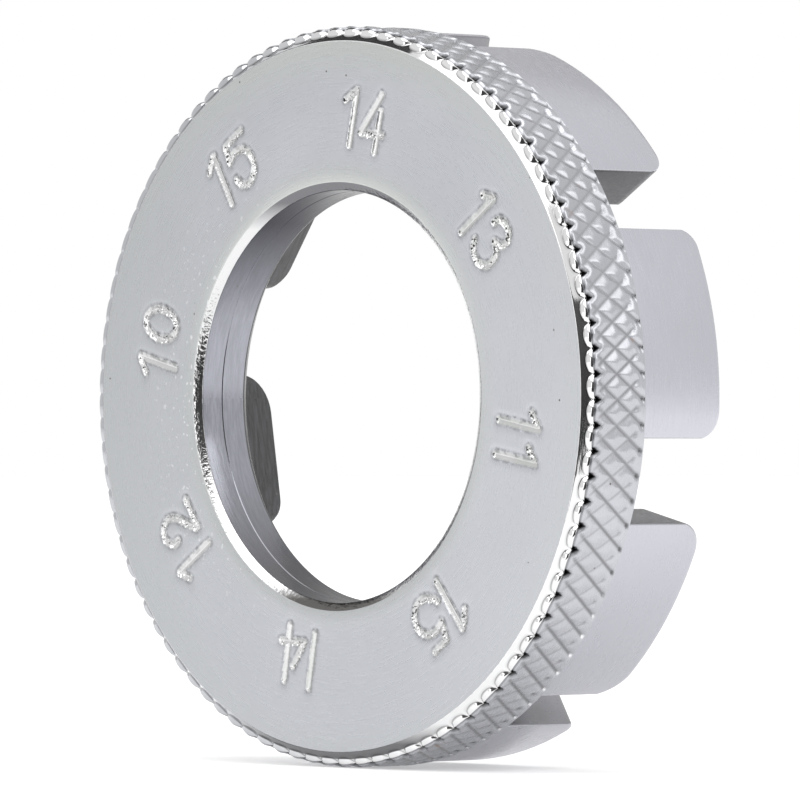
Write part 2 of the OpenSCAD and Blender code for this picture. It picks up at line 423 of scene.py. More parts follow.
# Planes to trim along, each with the way to the side that is cut off
TRIMS = [((-1, 0, 0), (-1, 0, 0)), ((1, 0, 0), (1, 0, 0)), ((0, 1, 0), (0, -1, 0)), ((0, 4, 0), (0, 1, 0))]
edit(rim)
for spot, way in TRIMS:
    bpy.ops.mesh.select_all(action="SELECT")
    bpy.ops.mesh.bisect(plane_co=spot, plane_no=way, clear_outer=True, threshold=1e-4)
select_edges(rim, lambda p: p[:, 1] < 1.0001)
for here, ahead in zip(BEVEL_ROWS[:0:-1], BEVEL_ROWS[-2::-1]):
    bpy.ops.mesh.extrude_edges_move(TRANSFORM_OT_translate={"value": (0, ahead - here, 0)})
select_edges(rim, lambda p: p[:, 1] > 3.9999)
for ahead in BACK_STEPS:
    bpy.ops.mesh.extrude_edges_move(TRANSFORM_OT_translate={"value": (0, ahead, 0)})
leave_edit()
print("one tooth:", len(rim.data.polygons), "faces")

# %% Profiles of the rim: over the nose of a lobe, and through the notch beside it
# Each point gives a place along the sheet, and the radius and depth in millimetres that it is led to
BEVEL = [(0, 22.2, 0), (0.03, 22.225, 0.002), (0.06, 22.25, 0.011), (0.08, 22.27, 0.026),
         (0.24, 22.46, 0.215)]
NOSE = [(0.26, 22.475, 0.228), (0.3, 22.53, 0.242), (0.36, 22.62, 0.25), (0.43, 22.74, 0.257),
        (0.5, 22.86, 0.278), (0.55, 22.95, 0.31), (0.59, 22.99, 0.35), (0.64, 22.985, 0.39),
        (0.7, 23.03, 0.435), (0.75, 23.1, 0.49), (0.8, 23.155, 0.56), (0.85, 23.185, 0.65),
        (0.9, 23.195, 0.77), (0.95, 23.2, 0.92), (1.0, 23.2, 1.125)]
NOTCH = [(0.24, 22.74, 0.495), (0.26, 22.75, 0.51), (0.3, 22.765, 0.53), (0.36, 22.785, 0.56),
         (0.43, 22.8, 0.59), (0.5, 22.82, 0.625), (0.55, 22.83, 0.65), (0.59, 22.83, 0.67),
         (0.64, 22.81, 0.7), (0.7, 22.81, 0.735), (0.75, 22.84, 0.775), (0.8, 22.9, 0.82),
         (0.85, 22.98, 0.875), (0.9, 23.07, 0.94), (0.95, 23.15, 1.02), (1.0, 23.2, 1.125)]
# The bevel is wider at the bottom of the rim, where the notches between its lobes begin further out
WIDE_NOSE = [(0.24, 22.53, 0.285), (0.26, 22.545, 0.295), (0.3, 22.595, 0.307), (0.36, 22.68, 0.315),
             (0.43, 22.785, 0.322), (0.5, 22.885, 0.34), (0.55, 22.965, 0.37), (0.59, 22.995, 0.4),
             (0.64, 22.99, 0.435), (0.7, 23.035, 0.475), (0.75, 23.1, 0.525), (0.8, 23.155, 0.59),
             (0.85, 23.185, 0.675), (0.9, 23.195, 0.785), (0.95, 23.2, 0.925)]
WIDE_NOTCH = [(0.24, 22.92, 0.67), (0.26, 22.925, 0.675), (0.36, 22.93, 0.685), (0.5, 22.92, 0.7),
              (0.59, 22.89, 0.715), (0.64, 22.86, 0.73), (0.7, 22.85, 0.755), (0.75, 22.865, 0.785),
              (0.8, 22.91, 0.83), (0.85, 22.98, 0.885), (0.9, 23.07, 0.95), (0.95, 23.15, 1.025)]
BACK = [(4.0, 23.2, 4.5), (4.07, 23.12, 4.55), (4.14, 23.0, 4.62), (4.24, 23.0, 4.75), (5.0, 22.2, 4.75),
        (6.0, 22.2, 0)]


def along(profile, way):
    """Radius and depth at a place along a profile."""
    spots, radii, depths = zip(*profile)
    return np.interp(way, spots, radii), np.interp(way, spots, depths)


print("profiles of", len(NOSE), "and", len(NOTCH), "points")

# %% Shape the tooth from its profiles
tooth = points_of(rim)
u, v = tooth[:, 0], tooth[:, 1]
width = np.sqrt(1 - (1 - np.clip(abs(u), 0.001, 1)) ** 2)


def swell(notch, nose):
    """From the notches at the tooth's two sides to the nose in its middle, as round as a circle."""
    return notch + width * (nose - notch)


nose_r, nose_d = along(BEVEL + NOSE + BACK, v)
notch_r, notch_d = along(BEVEL[:-1] + NOTCH + BACK, v)
radius, depth = swell(notch_r, nose_r), swell(notch_d, nose_d)
wide_r, wide_d = along(BEVEL[:-1] + WIDE_NOSE + NOSE[-1:] + BACK, v)
deep_r, deep_d = along(BEVEL[:-1] + WIDE_NOTCH + NOSE[-1:] + BACK, v)
print("radius from", round(float(radius.min()), 3), "to", round(float(radius.max()), 3))

# %% Roll the grooves and wrap the tooth onto the rim
FALL_DEPTH, RISE_DEPTH = 0.13, 0.14
DIMPLE_DEPTH, HOLE_DEPTH = 0.05, 0.12


def groove(across, half_w):
    """Depth of a rolled groove, from 1 in its middle to 0 on the flat beside it."""
    return 0.5 + 0.5 * np.cos(np.pi * np.clip(across / half_w, 0, 1))


row = depth / ROW_T
falling = abs((u + row) / 2 - np.round((u + row) / 2))
rising = abs((row - u) / 2 - np.round((row - u) / 2))
fall_end, rise_end = smoothstep(4.04, 3.86, row), smoothstep(3.62, 3.42, row)
started = smoothstep(0.7, 1.0, v)
on_top = v < 4.2
falls = FALL_DEPTH * (groove(falling, 0.33) * fall_end)
rises = RISE_DEPTH * (groove(rising, 0.48) * rise_end)
fall_dot = np.exp(-(falling / 0.09) ** 2 - ((row - 3.9) / 0.07) ** 2)
dimple = fall_dot + np.exp(-(rising / 0.08) ** 2 - ((row - 3.46) / 0.06) ** 2)
hole = (smoothstep(0.46, 0.26, abs(u) + 0.8 * np.maximum(v - 0.7, 0))
        * smoothstep(0.57, 0.64, v) * smoothstep(1.0, 0.85, v))
rolled = np.where(on_top, np.maximum(falls, rises) * started + DIMPLE_DEPTH * dimple, 0) + HOLE_DEPTH * hole
set_points(rim, on_the_ring(radius - rolled, u * HALF_TOOTH + KNURL_PHASE, depth))
print("deepest groove:", round(float(rolled.max()), 3), "mm")

# %% Note the grime and painted shade in the grooves, and the other profiles, at each point of the tooth
# Painted shade: the pockets beside the lobes, the holes, the groove-end dots and a thin line at the front of
# each lobe turn black, and the grime in the grooves and dimples is partly painted shade.
pocket = smoothstep(0.57, 0.6, v) * smoothstep(0.75, 0.71, v) * (1 - 0.6 * width)
lobe_outline = 0.7 * np.exp(-((v - 0.27) / 0.04) ** 2) * smoothstep(0.0, 0.12, abs(u))
end_dot = fall_dot * on_top
notes = {
    "grime_shade": np.where(on_top, np.clip(started * groove(falling, 0.15) * fall_end + dimple, 0, 1), 0),
    "painted_crease_shade": np.maximum.reduce([pocket, hole, 0.8 * end_dot, lobe_outline]),
    "end_dot": end_dot,
    "rising_grime_shade": np.where(on_top, started * groove(rising, 0.11) * rise_end, 0),
    "rising_cut": np.where(on_top, np.maximum(rises - falls, 0) * started, 0),
    "nose_radius": nose_r - rolled + HOLE_DEPTH * hole,
    "nose_depth": nose_d,
    "wide_radius": swell(deep_r, wide_r) - rolled,
    "wide_depth": swell(deep_d, wide_d),
}
for name, values in notes.items():
    carry(rim, name, values)
front = rim.data.attributes.new("front", "BOOLEAN", "FACE")
front.data.foreach_set("value", [bool(v[list(face.vertices)].max() < 0.6) for face in rim.data.polygons])
print("notes:", list(notes))

# %% Repeat the tooth round the rim
turner = bpy.data.objects.new("turner", None)
bpy.context.scene.collection.objects.link(turner)
turner.rotation_euler = (0, -2 * HALF_TOOTH, 0)
bpy.context.view_layer.update()
leave_edit()
repeat = rim.modifiers.new("repeat", "ARRAY")
repeat.count = TEETH
repeat.use_relative_offset = False
repeat.use_object_offset = True
repeat.offset_object = turner
repeat.use_merge_vertices = True
repeat.use_merge_vertices_cap = True
repeat.merge_threshold = 0.002
bpy.context.view_layer.objects.active = rim
bpy.ops.object.modifier_apply(modifier="repeat")
bpy.data.objects.remove(turner)
print("rim:", len(rim.data.polygons), "faces")

# %% [markdown]
# ## Changes round the rim
# A rolled knurl isn't the same all round. At the left its notches run out, because the wheel pressed less
# there. At the bottom the bevel is wider, and at the lower right one set of grooves is shallow and the other
# ends in dots with painted glints. The teeth could be edited one by one; here each point moves towards the
# other profiles that it carries by a share that depends on its angle, so that the changes are gradual.

# %% Widen the bevel at the bottom and let the notches run out at the left
# Angles are in radians from the right, and negative below it
full = {name: np.empty(len(rim.data.vertices)) for name in notes}
for name, values in full.items():
    rim.data.attributes[name].data.foreach_get("value", values)
radius, angle, depth = polar(points_of(rim))
wide = smoothstep(0.3, 1.2, -angle) * smoothstep(2.6, 2.2, -angle)
radius += wide * (full["wide_radius"] - radius)
depth += wide * (full["wide_depth"] - depth)
start = np.where(angle > 0, 2.15, 2.5)
fade = 0.75 * smoothstep(start, start + 0.35, abs(angle))
radius += fade * (full["nose_radius"] - radius)
depth += fade * (full["nose_depth"] - depth)
print("notches left at the far left:", round(1 - float(fade.max()), 2))

# %% Make the rising grooves shallow at the lower right
shallow = smoothstep(0.2, -0.5, angle)
radius += 0.3 * shallow * full["rising_cut"]
set_points(rim, on_the_ring(radius, angle, depth))
# Painted glints on the groove-end dots at the lower right; the grime with painted shade is fainter in the
# shallow rising grooves there, and the black painted crease shade fades at the left with the notches.
glint_share = smoothstep(-0.5, -0.7, angle) * np.clip(1.4 * full["end_dot"], 0, 1)
groove_grime_and_shade = np.maximum(full["grime_shade"], (1 - 0.62 * shallow) * full["rising_grime_shade"])
carry(rim, "grime_shade", groove_grime_and_shade * (1 - glint_share))
carry(rim, "painted_glint", glint_share)
carry(rim, "painted_crease_shade", full["painted_crease_shade"] * (1 - 0.6 * fade) * (1 - glint_share))
print("bright points:", int((glint_share > 0.5).sum()))

# %% [markdown]
# ## The jaws
# Eight jaws stand on the ring's back, round outside and flat inside, with milled slots between them. A ring
# could be cut by eight boxes, but its edges would then be hard to ease. Only the slots and the rounding of
# the corners differ from jaw to jaw, so one straight blank is bevelled and cut into columns, and each jaw is
# a copy of it, bent round the ring so that its sides meet the walls of its own slots.

# %% Bevel a straight blank
BLANK_W = 13.0
MOUTH_W = 2.0
bpy.ops.object.select_all(action="DESELECT")
bpy.ops.mesh.primitive_cube_add(size=1, location=(0, 0, 0))
blank = bpy.context.object
blank.name = blank.data.name = "jaw_blank"
edit(blank)
bpy.ops.mesh.select_all(action="SELECT")
bpy.ops.transform.resize(value=(BLANK_W, END_T - RING_T, JAW_R - JAW_FLAT), center_override=(0, 0, 0))
bpy.ops.transform.translate(value=(0, (END_T + RING_T) / 2, (JAW_R + JAW_FLAT) / 2))
leave_edit()
weights = blank.data.attributes.new("bevel_weight_edge", "FLOAT", "EDGE")
spots = points_of(blank)
for line in blank.data.edges:
    middle = (spots[line.vertices[0]] + spots[line.vertices[1]]) / 2
    at_end = abs(middle[1] - END_T) < 0.01
    at_side = abs(abs(middle[0]) - BLANK_W / 2) < 0.01
    outside, inside = abs(middle[2] - JAW_R) < 0.01, abs(middle[2] - JAW_FLAT) < 0.01
    if at_end and (outside or inside):
        weights.data[line.index].value = 1.0 if outside else 0.4
    elif at_side and (outside or inside):
        weights.data[line.index].value = 0.3 if outside else 1.0
ease = blank.modifiers.new("ease", "BEVEL")
ease.width = 0.5
ease.segments = 5
ease.limit_method = "WEIGHT"
bpy.context.view_layer.objects.active = blank
bpy.ops.object.modifier_apply(modifier="ease")
print("blank:", len(blank.data.polygons), "faces")

# %% Cut the blank into columns
near_wall = [MOUTH_W * (1 - math.cos(math.radians(a))) for a in range(10, 91, 10)]
middle_cuts = list(np.linspace(MOUTH_W - BLANK_W / 2, BLANK_W / 2 - MOUTH_W, 13))[1:-1]
cuts = [BLANK_W / 2 - d for d in near_wall] + [d - BLANK_W / 2 for d in near_wall] + middle_cuts
edit(blank)
for x in cuts:
    bpy.ops.mesh.select_all(action="SELECT")
    bpy.ops.mesh.bisect(plane_co=(x, 0, 0), plane_no=(1, 0, 0))
leave_edit()
print("blank:", len(blank.data.polygons), "faces in", len(cuts) + 1, "columns")

# %% Bend a copy of the blank to each pair of slots
HELD = 2.2
# Rounding of each jaw's two corners, at the slot before it and at the slot after it, clockwise
CORNERS = [(1.4, 1.6), (1.2, 1.7), (2.0, 2.0), (1.25, 1.6), (1.6, 1.6), (1.4, 2.3), (1.6, 1.6), (1.6, 1.8)]


def beside(slot_angle, side, from_middle, radius):
    """Angle of points that lie at a distance from the middle plane of a slot, on one side of it."""
    return slot_angle + side * np.arcsin(from_middle / radius)


def bend_jaw(k):
    """Copies the blank and bends it round the ring between slot k and the next one clockwise."""
    piece = blank.copy()
    piece.data = blank.data.copy()
    piece.name = piece.data.name = f"jaw_{k + 1}_piece"
    bpy.context.scene.collection.objects.link(piece)
    high = math.radians(FIRST_SLOT - SLOT_STEP * k)
    low = high - math.radians(SLOT_STEP)
    half_high = SLOT_WIDTHS[k] / 2
    half_low = SLOT_WIDTHS[(k + 1) % len(SLOT_WIDTHS)] / 2
    shrink_high, shrink_low = (r / MOUTH_W for r in CORNERS[k])
    straight = points_of(piece)
    from_high, from_low = BLANK_W / 2 - straight[:, 0], BLANK_W / 2 + straight[:, 0]
    share = np.clip((from_low - HELD) / (BLANK_W - 2 * HELD), 0, 1)
    through = (straight[:, 2] - JAW_FLAT) / (JAW_R - JAW_FLAT)
    radius = straight[:, 2]
    # The inside is flat and the walls are parallel, so radius and angle are found together, step by step
    for _ in range(12):
        start = beside(low, 1, half_low + HELD * shrink_low, radius)
        end = beside(high, -1, half_high + HELD * shrink_high, radius)
        angle = start + share * (end - start)
        near_high = beside(high, -1, half_high + from_high * shrink_high, radius)
        near_low = beside(low, 1, half_low + from_low * shrink_low, radius)
        angle = np.where(from_low < HELD, near_low, np.where(from_high < HELD, near_high, angle))
        flat_r = JAW_FLAT / np.cos(angle - (high + low) / 2)
        radius = flat_r + through * (JAW_R - flat_r)
    corner_r = np.where(from_high < from_low, *CORNERS[k])
    from_wall = np.minimum(from_high * shrink_high, from_low * shrink_low)
    at_corner = np.minimum(from_high, from_low) < MOUTH_W
    inside = corner_r - np.clip(np.where(at_corner, from_wall, corner_r), 0, corner_r)
    drop = corner_r - np.sqrt(corner_r ** 2 - inside ** 2)
    length = END_T - RING_T
    depth = RING_T + (straight[:, 1] - RING_T) * (length - drop) / length
    set_points(piece, on_the_ring(radius, angle, depth))
    return piece


jaws = [bend_jaw(k) for k in range(8)]
bpy.data.objects.remove(blank)
print(len(jaws), "jaws")

# %% [markdown]
# ## Chrome plate
# The whole wrench is plated, so every finish is a metal with the grey of chromium, and what differs is how
# rough the steel under the plate was left: satin on the face and jaws, bright on the bevel and chamfers,
# dull in the slots. An image texture would have to be painted; noise along the turning direction gives
# the streaks and stays sharp at any size. What several finishes share is a node group, built once.
# Some finishes also carry painted light, shade and glints: in zones, round the numbers, in the knurl's
# grooves and creases, and on the slot walls that face down and up.

# %% Helpers to add and link shader nodes
def add_node(tree, kind, **settings):
    node = tree.nodes.new(kind)
    for key, value in settings.items():
        setattr(node, key, value)
    return node


def put(tree, socket, value):
    """Links a socket to another one, or sets it to a number or a colour."""
    if isinstance(value, bpy.types.NodeSocket):
        tree.links.new(value, socket)
    else:
        socket.default_value = (*value, 1) if isinstance(value, tuple) else value


def math_node(tree, operation, a, b=0.0):
    node = add_node(tree, "ShaderNodeMath", operation=operation)
    put(tree, node.inputs[0], a)
    put(tree, node.inputs[1], b)
    return node.outputs[0]


def noise_node(tree, vector, scale, detail=3.0, rough=0.55):
    node = add_node(tree, "ShaderNodeTexNoise")
    for label, value in (("Vector", vector), ("Scale", scale), ("Detail", detail), ("Roughness", rough)):
        put(tree, node.inputs[label], value)
    return node.outputs["Fac"]


def spread_node(tree, value, start, end, low, high):
    """Maps the values from start to end onto those from low to high, and holds them beyond."""
    node = add_node(tree, "ShaderNodeMapRange")
    settings = {"Value": value, "From Min": start, "From Max": end, "To Min": low, "To Max": high}
    for label, setting in settings.items():
        put(tree, node.inputs[label], setting)
    return node.outputs["Result"]


def mix_colour(tree, factor, a, b):
    node = add_node(tree, "ShaderNodeMix", data_type="RGBA")
    for label, value in (("Factor", factor), ("A", a), ("B", b)):
        put(tree, node.inputs[label], value)
    return node.outputs["Result"]


def sides_of(tree, vector):
    node = add_node(tree, "ShaderNodeSeparateXYZ")
    tree.links.new(vector, node.inputs[0])
    return node.outputs


print("node helpers ready")

# %% Helpers to build a shared node group and to place it in a finish
NUMBER, PLACE, COLOUR = "NodeSocketFloat", "NodeSocketVector", "NodeSocketColor"


def new_group(name, inputs, outputs):
    """An empty group with named sockets: the group, the sockets that feed it, and those that it fills."""
    group = bpy.data.node_groups.new(name, "ShaderNodeTree")
    for way, sockets in (("INPUT", inputs), ("OUTPUT", outputs)):
        for label, kind in sockets.items():
            group.interface.new_socket(label, in_out=way, socket_type=kind)
    return group, group.nodes.new("NodeGroupInput").outputs, group.nodes.new("NodeGroupOutput").inputs


def place_group(tree, group, settings):
    node = add_node(tree, "ShaderNodeGroup", node_tree=group)
    for label, value in settings.items():
        put(tree, node.inputs[label], value)
    return node.outputs


print("sockets:", NUMBER, PLACE, COLOUR)

# %% Turned streaks: noise over the radius and the depth in millimetres, stretched round the bore
turned, given, made = new_group("turned streaks", {"Vector": PLACE},
                                {"Streak": NUMBER, "Patch": NUMBER, "Radius": NUMBER})
side = sides_of(turned, given["Vector"])
squares = [math_node(turned, "MULTIPLY", side[axis], side[axis]) for axis in "XZ"]
from_axis = math_node(turned, "SQRT", math_node(turned, "ADD", *squares))
spoke = math_node(turned, "MULTIPLY", from_axis, 1000.0)
around = math_node(turned, "ARCTAN2", side["Z"], side["X"])
lathe = add_node(turned, "ShaderNodeCombineXYZ")
put(turned, lathe.inputs["X"], spoke)
put(turned, lathe.inputs["Y"], math_node(turned, "MULTIPLY", around, 1.6))
put(turned, lathe.inputs["Z"], math_node(turned, "MULTIPLY", side["Y"], 1000.0))
put(turned, made["Streak"], noise_node(turned, lathe.outputs[0], 6.0, 4.0, 0.6))
put(turned, made["Patch"], noise_node(turned, given["Vector"], 140.0, 4.0))
put(turned, made["Radius"], spoke)
print("group:", turned.name)

# %% Pits: small specks where the plate has been eaten through
pitted, given, made = new_group("pits", {"Vector": PLACE}, {"Pit": NUMBER})
cellular = add_node(pitted, "ShaderNodeTexVoronoi")
put(pitted, cellular.inputs["Scale"], 800.0)
put(pitted, cellular.inputs["Vector"], given["Vector"])
close = math_node(pitted, "LESS_THAN", cellular.outputs["Distance"], 0.055)
rare = math_node(pitted, "GREATER_THAN", noise_node(pitted, given["Vector"], 420.0, 2.0), 0.58)
put(pitted, made["Pit"], math_node(pitted, "MULTIPLY", close, rare))
print("group:", pitted.name)

# %% Painted light zones: another shade of plate, as painted light and shade, that comes in along one axis, up to a radius
painted_zone_inputs = {"Colour": COLOUR, "Shade": COLOUR, "Place": NUMBER, "Start": NUMBER, "End": NUMBER,
               "Most": NUMBER, "Radius": NUMBER, "Limit": NUMBER}
painted_zone_group, given, made = new_group("painted light zone", painted_zone_inputs, {"Colour": COLOUR})
share = spread_node(painted_zone_group, given["Place"], given["Start"], given["End"], 0, given["Most"])
within = math_node(painted_zone_group, "LESS_THAN", given["Radius"], given["Limit"])
put(painted_zone_group, made["Colour"], mix_colour(painted_zone_group, math_node(painted_zone_group, "MULTIPLY", share, within),
                                      given["Colour"], given["Shade"]))
print("group:", painted_zone_group.name)

# %% Painted stroke shade: broken dark outlines of painted shade round the numbers, and faint painted glints near the bore at the left
stroke_shading_inputs = {"Vector": PLACE, "Radius": NUMBER, "Outline": NUMBER, "Colour": COLOUR}
stroke_shading_group, given, made = new_group("painted stroke shade and glints", stroke_shading_inputs, {"Colour": COLOUR})
broken = spread_node(stroke_shading_group, noise_node(stroke_shading_group, given["Vector"], 2400.0, 2.0), 0.42, 0.58, 0.25, 0.85)
colour = mix_colour(stroke_shading_group, math_node(stroke_shading_group, "MULTIPLY", given["Outline"], broken), given["Colour"],
                    (0.14, 0.14, 0.145))
near_bore = spread_node(stroke_shading_group, given["Radius"], 19.0, 14.0, 0, 1)
at_left = spread_node(stroke_shading_group, sides_of(stroke_shading_group, given["Vector"])["X"], -3 * MM, -14 * MM, 0, 0.45)
glint_flecks = spread_node(stroke_shading_group, noise_node(stroke_shading_group, given["Vector"], 2700.0, 1.0), 0.66, 0.7, 0, 1)
bright = math_node(stroke_shading_group, "MULTIPLY", glint_flecks, math_node(stroke_shading_group, "MULTIPLY", near_bore, at_left))
put(stroke_shading_group, made["Colour"], mix_colour(stroke_shading_group, bright, colour, (0.86, 0.86, 0.88)))
print("group:", stroke_shading_group.name)

# %% Groove grime and painted shade: grime with a few rust specks, partly painted shade, stronger towards the bottom; black painted shade in creases; painted glints where a groove ends
groove_shading_inputs = {"Vector": PLACE, "Grime and shade": NUMBER, "Painted crease shade": NUMBER, "Painted glint": NUMBER, "Colour": COLOUR}
groove_shading_group, given, made = new_group("groove grime and painted shade", groove_shading_inputs, {"Colour": COLOUR})
rust = math_node(groove_shading_group, "GREATER_THAN", noise_node(groove_shading_group, given["Vector"], 330.0, 2.0), 0.69)
grime_and_shade_colour = mix_colour(groove_shading_group, rust, (0.16, 0.16, 0.165), (0.2, 0.09, 0.035))
lower = spread_node(groove_shading_group, sides_of(groove_shading_group, given["Vector"])["Z"], 8 * MM, -6 * MM, 0.35, 0.85)
colour = mix_colour(groove_shading_group, math_node(groove_shading_group, "MULTIPLY", given["Grime and shade"], lower), given["Colour"], grime_and_shade_colour)
colour = mix_colour(groove_shading_group, given["Painted crease shade"], colour, (0.025, 0.025, 0.025))
put(groove_shading_group, made["Colour"], mix_colour(groove_shading_group, given["Painted glint"], colour, (0.95, 0.95, 0.97)))
print("group:", groove_shading_group.name)


# %% Build a chrome finish from the groups
NO_LIMIT = 100.0


def ramp_node(tree, value, stops):
    node = add_node(tree, "ShaderNodeValToRGB")
    for element, (spot, colour) in zip(node.color_ramp.elements, stops):
        element.position = spot
        element.color = (*colour, 1)
    tree.links.new(value, node.inputs["Fac"])
    return node.outputs["Color"]


def noted(tree, name):
    return add_node(tree, "ShaderNodeAttribute", attribute_name=name).outputs["Fac"]


def plate_colour(tree, spot, streaks, light, dark, shade_by, edge, painted_zones):
    """Two shades of plate, a third towards the edges of the face, and painted light and shade in zones."""
    colour = ramp_node(tree, streaks[shade_by], [(0.35, dark), (0.65, light)])
    if edge:
        rim_side = spread_node(tree, streaks["Radius"], 19.5, 22.2, 0, 1)
        bore_side = spread_node(tree, streaks["Radius"], 15.0, 13.4, 0, 1)
        colour = mix_colour(tree, math_node(tree, "MAXIMUM", rim_side, bore_side), colour, edge)
    for axis, start, end, most, shade, *limit in painted_zones:
        colour = place_group(tree, painted_zone_group, {
            "Colour": colour, "Shade": shade, "Place": sides_of(tree, spot)[axis], "Start": start * MM,
            "End": end * MM, "Most": most, "Radius": streaks["Radius"],
            "Limit": limit[0] if limit else NO_LIMIT})["Colour"]
    return colour


def chrome(name, light, dark, roughness, bump_strength, shade_by="Patch", edge=None, painted_zones=(),
           grime_and_shade=False, stroke_shading=False, grain=0.0, glancing=1.0):
    """A chrome finish, with streaks in its roughness and bump, a few pits, painted light and shade in zones,
    painted shade round the strokes, and grime with painted shade and glints in the grooves.
    """
    material = bpy.data.materials.new(name)
    material.use_nodes = True
    tree = material.node_tree
    shader = tree.nodes["Principled BSDF"]
    shader.inputs["Metallic"].default_value = 1.0
    shader.inputs["Specular Tint"].default_value = (glancing, glancing, glancing, 1)
    spot = add_node(tree, "ShaderNodeTexCoord").outputs["Object"]
    streaks = place_group(tree, turned, {"Vector": spot})
    colour = plate_colour(tree, spot, streaks, light, dark, shade_by, edge, painted_zones)
    if stroke_shading:
        colour = place_group(tree, stroke_shading_group, {"Vector": spot, "Radius": streaks["Radius"],
                                            "Outline": noted(tree, "painted_stroke_shade"), "Colour": colour})["Colour"]
    if grime_and_shade:
        colour = place_group(tree, groove_shading_group, {"Vector": spot, "Grime and shade": noted(tree, "grime_shade"),
                                             "Painted crease shade": noted(tree, "painted_crease_shade"), "Painted glint": noted(tree, "painted_glint"),
                                             "Colour": colour})["Colour"]
    pit = place_group(tree, pitted, {"Vector": spot})["Pit"]
    put(tree, shader.inputs["Base Color"], mix_colour(tree, pit, colour, (0.16, 0.15, 0.14)))
    put(tree, shader.inputs["Roughness"], spread_node(tree, streaks["Streak"], 0.3, 0.7, *roughness))
    relief = streaks["Streak"]
    if grain:
        grains = math_node(tree, "MULTIPLY", noise_node(tree, spot, 4200.0, 2.0), grain)
        relief = math_node(tree, "ADD", relief, grains)
    bump = add_node(tree, "ShaderNodeBump")
    for label, value in (("Strength", bump_strength), ("Distance", 0.02 * MM), ("Height", relief)):
        put(tree, bump.inputs[label], value)
    put(tree, shader.inputs["Normal"], bump.outputs["Normal"])
    return material


print("a finish takes its colour, roughness and bump from", len(bpy.data.node_groups), "groups")

# %% Mix the finishes of the ring
# A painted light zone gives its axis, where it starts and is full in millimetres, its share, its painted
# colour, and a radius limit
# Painted light: the face is darker towards the bottom and the left, and lighter at the right.
satin_face = chrome("satin face", (0.495, 0.505, 0.54), (0.46, 0.47, 0.5), (0.24, 0.34), 0.35,
                    edge=(0.485, 0.5, 0.485), stroke_shading=True,
                    painted_zones=(("Z", -6, -18, 0.75, (0.44, 0.45, 0.48)),
                           ("X", -4, -20, 0.85, (0.43, 0.442, 0.458)),
                           ("X", 6, 20, 0.7, (0.515, 0.525, 0.56))))
# Painted shade: the chamfer is darker at its top and bottom, and the bored wall darker above and below.
chamfer_plate = chrome("bore chamfer", (0.64, 0.64, 0.65), (0.58, 0.58, 0.58), (0.05, 0.12), 0.6, grain=2.6,
                       painted_zones=(("Z", 10.6, 12.2, 1, (0.17, 0.17, 0.18)),
                              ("Z", -11.9, -12.7, 1, (0.13, 0.125, 0.12))))
bore_plate = chrome("bored wall", (0.335, 0.34, 0.38), (0.28, 0.285, 0.315), (0.14, 0.24), 0.5,
                    shade_by="Streak", glancing=0.7,
                    painted_zones=(("Z", 5, 11, 1, (0.065, 0.065, 0.075)),
                           ("Z", -5, -11, 1, (0.155, 0.155, 0.165))))
stamped = chrome("stamped strokes", (0.61, 0.61, 0.61), (0.51, 0.52, 0.51), (0.14, 0.26), 0.2, stroke_shading=True)
inner_wall = chrome("inner wall", (0.11, 0.11, 0.115), (0.07, 0.07, 0.07), (0.25, 0.4), 0.3,
                    shade_by="Streak")
print("ring:", [m.name for m in (satin_face, chamfer_plate, bore_plate, stamped, inner_wall)])

# %% Mix the finishes of the rim and the jaws
rolled_plate = chrome("rolled knurl", (0.475, 0.48, 0.51), (0.43, 0.435, 0.46), (0.2, 0.32), 0.1, grime_and_shade=True)
# Painted shade: the bevel is greyer towards the left and dark at the bottom, within its inner part.
bright_edge = chrome("bright edge", (0.74, 0.74, 0.75), (0.7, 0.7, 0.7), (0.04, 0.08), 0.1, grime_and_shade=True,
                     painted_zones=(("X", 1, -9, 1, (0.46, 0.465, 0.485)),
                            ("Z", -20.2, -21.6, 0.95, (0.13, 0.13, 0.135), 22.66)))
# Painted shade: the jaws are darker towards the bottom.
satin_jaw = chrome("satin jaw", (0.525, 0.525, 0.575), (0.5, 0.5, 0.545), (0.2, 0.3), 0.2,
                   painted_zones=(("Z", -3, -13, 1, (0.45, 0.45, 0.49)),))
milled_slot = chrome("milled slot", (0.3, 0.3, 0.32), (0.22, 0.22, 0.23), (0.25, 0.4), 0.3)
# The next two are darker copies of the milled slot: painted shade for the slot walls that face down and up.
slot_shaded_below = chrome("slot with painted shade below", (0.13, 0.13, 0.145), (0.085, 0.085, 0.09), (0.3, 0.45), 0.3)
shaded_slot = chrome("shaded slot", (0.19, 0.19, 0.205), (0.14, 0.14, 0.15), (0.25, 0.4), 0.3)
print("rim:", rolled_plate.name, bright_edge.name)
print("jaws:", [m.name for m in (satin_jaw, milled_slot, slot_shaded_below, shaded_slot)])

# %% [markdown]
# ## Finishes on the pieces
# One piece can show several surfaces: the ring has its face, a chamfer, the bored wall, the strokes and its
# back. Their faces could be picked by hand in edit mode; here they are picked by their place and normal, so
# that the choice still holds when a size changes.

# %% Finish the ring
def give(piece, finishes, choose):
    """Fills the piece's material slots and picks one for each face by its place and normal."""
    piece.data.materials.clear()
    for finish in finishes:
        piece.data.materials.append(finish)
    count = len(piece.data.polygons)
    middles, normals = np.empty(count * 3), np.empty(count * 3)
    piece.data.polygons.foreach_get("center", middles)
    piece.data.polygons.foreach_get("normal", normals)
    radius, angle, depth = polar(middles.reshape(-1, 3))
    chosen = choose(radius / MM, angle, depth / MM, normals.reshape(-1, 3))
    piece.data.polygons.foreach_set("material_index", chosen.astype(np.int32))
    piece.data.update()


